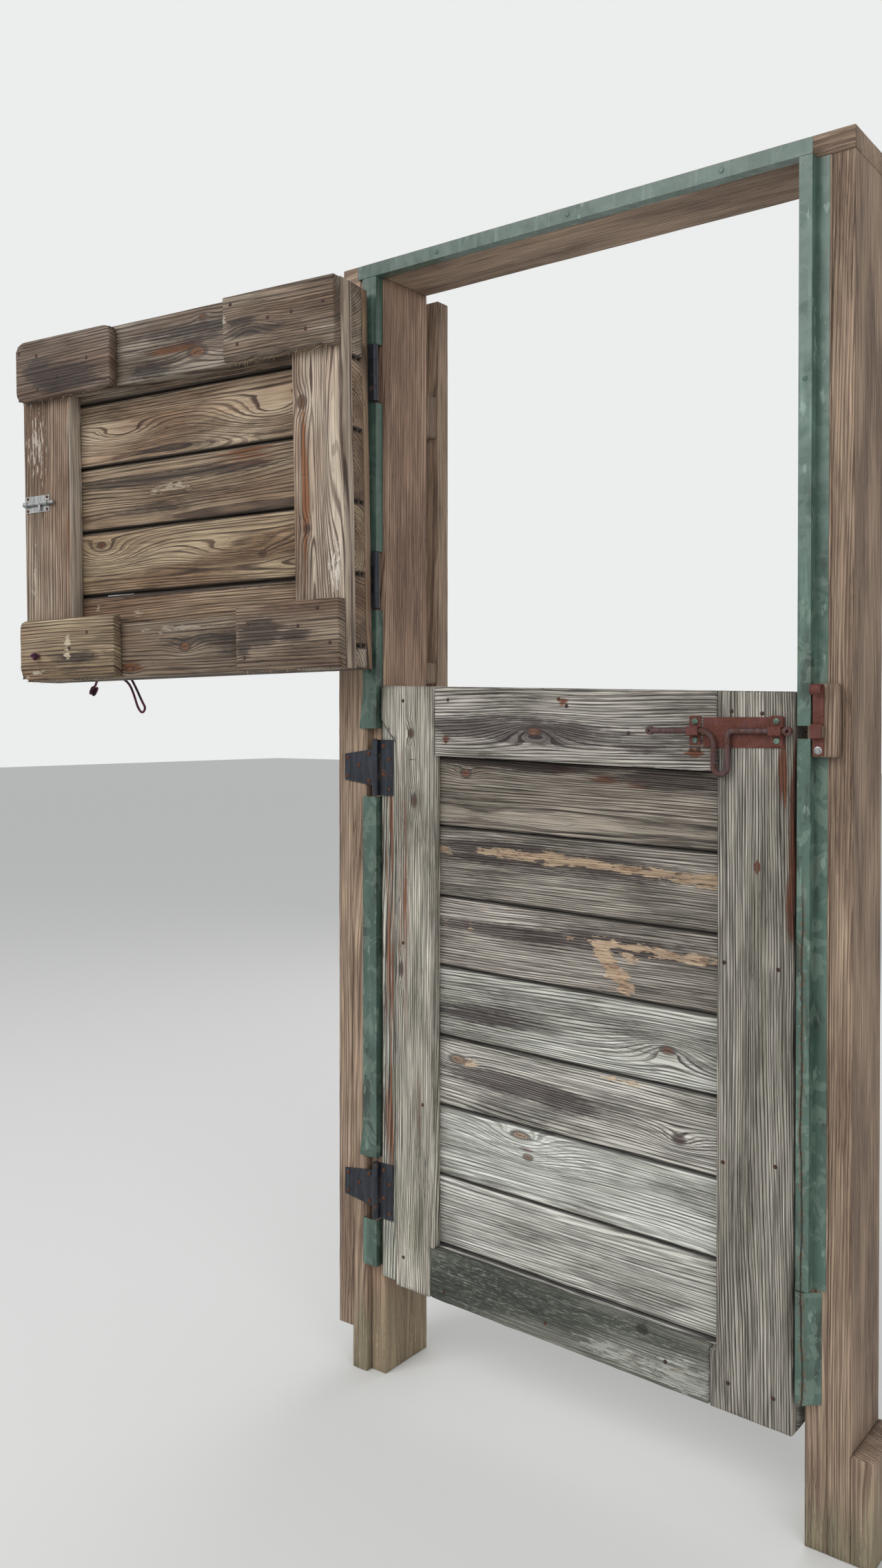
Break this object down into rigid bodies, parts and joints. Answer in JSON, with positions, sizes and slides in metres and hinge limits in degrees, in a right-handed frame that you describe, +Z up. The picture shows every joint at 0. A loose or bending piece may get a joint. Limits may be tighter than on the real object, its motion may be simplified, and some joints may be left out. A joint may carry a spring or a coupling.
{
  "type": "dutch stable door",
  "caption": "Weathered wooden two-leaf stable door in its frame, lower leaf shut with a slide bolt, upper leaf swung open on black hinges.",
  "frame": {"origin": "centre of the foot of the jamb on the hinge side, where it stands on the ground", "axes": "+X along the wall from the hinge side to the latch side, +Y into the building, +Z up"},
  "size_m": [1.8921, 0.5109, 2.301],
  "materials": {
    "lower_timber": "silver-grey weathered",
    "mossy_timber": "dark and mossy",
    "upper_timber": "warm brown, bare",
    "frame_timber": "reddish brown, dry",
    "green_trim": "sage green paint",
    "black_iron": "black, rust at the edges",
    "rusty_steel": "brown rust",
    "dull_steel": "dull zinc",
    "cord": "dark braided cord"
  },
  "bodies": {
    "frame": {"hinge_jamb": "frame_timber", "hinge_post_inner": "frame_timber", "hinge_post_outer": "frame_timber", "latch_jamb": "frame_timber", "latch_post": "frame_timber", "latch_stub": "frame_timber", "head_board": "frame_timber", "inner_stud": "frame_timber", "head_trim": "green_trim", "hinge_trim_upper": "green_trim", "hinge_trim_middle": "green_trim", "hinge_trim_lower": "green_trim", "latch_trim_upper": "green_trim", "latch_trim_lower": "green_trim", "keeper_block": "frame_timber", "keeper_strap": "rusty_steel", "hinge_straps": "black_iron", "hinge_pins": "black_iron", "frame_screws": "rusty_steel"},
    "lower_leaf": {"lower_board_0": "lower_timber", "lower_board_1": "lower_timber", "lower_board_2": "lower_timber", "lower_board_3": "lower_timber", "lower_board_4": "lower_timber", "lower_board_5": "lower_timber", "lower_board_6": "lower_timber", "lower_board_7": "lower_timber", "lower_board_8": "lower_timber", "lower_butts": "black_iron", "lower_hinge_stile": "lower_timber", "lower_hinge_strip": "lower_timber", "lower_inner_frame": "lower_timber", "lower_latch_stile": "lower_timber", "lower_screws": "rusty_steel", "lower_sill_rail": "mossy_timber", "lower_top_rail": "lower_timber", "bolt_backplate": "rusty_steel", "bolt_guides": "rusty_steel"},
    "upper_leaf": {"upper_board_0": "upper_timber", "upper_board_1": "upper_timber", "upper_board_2": "upper_timber", "upper_board_3": "upper_timber", "upper_board_4": "upper_timber", "upper_board_5": "upper_timber", "upper_butts": "black_iron", "upper_hinge_stile": "upper_timber", "upper_latch_stile": "upper_timber", "upper_low_rail": "upper_timber", "upper_outer_frame": "upper_timber", "upper_screws": "rusty_steel", "upper_top_rail": "upper_timber", "cleat_low_hinge": "upper_timber", "cleat_low_latch": "upper_timber", "cleat_top_hinge": "upper_timber", "cleat_top_latch": "upper_timber", "barrel_plate": "dull_steel", "tie_cord": "cord", "cord_knots": "cord"},
    "slide_bolt": {"slide_rod": "rusty_steel"},
    "barrel_slider": {"barrel_bolt": "dull_steel"}
  },
  "joints": [
    {"name": "lower_leaf_swing", "type": "hinge", "parent": "frame", "child": "lower_leaf", "pos_m": [0.0126, -0.0935, 0.824], "axis": [0, 0, -1], "range_deg": [0, 170]},
    {"name": "upper_leaf_swing", "type": "hinge", "parent": "frame", "child": "upper_leaf", "pos_m": [0.0126, -0.0935, 1.845], "axis": [0.0091, 0, -1], "range_deg": [-171.3, 3]},
    {"name": "slide_bolt_travel", "type": "slide", "parent": "lower_leaf", "child": "slide_bolt", "axis": [1, 0, 0], "range_m": [0, 0.062]},
    {"name": "barrel_bolt_travel", "type": "slide", "parent": "upper_leaf", "child": "barrel_slider", "axis": [-0.9883, -0.1513, -0.018], "range_m": [0, 0.03]}
  ]
}
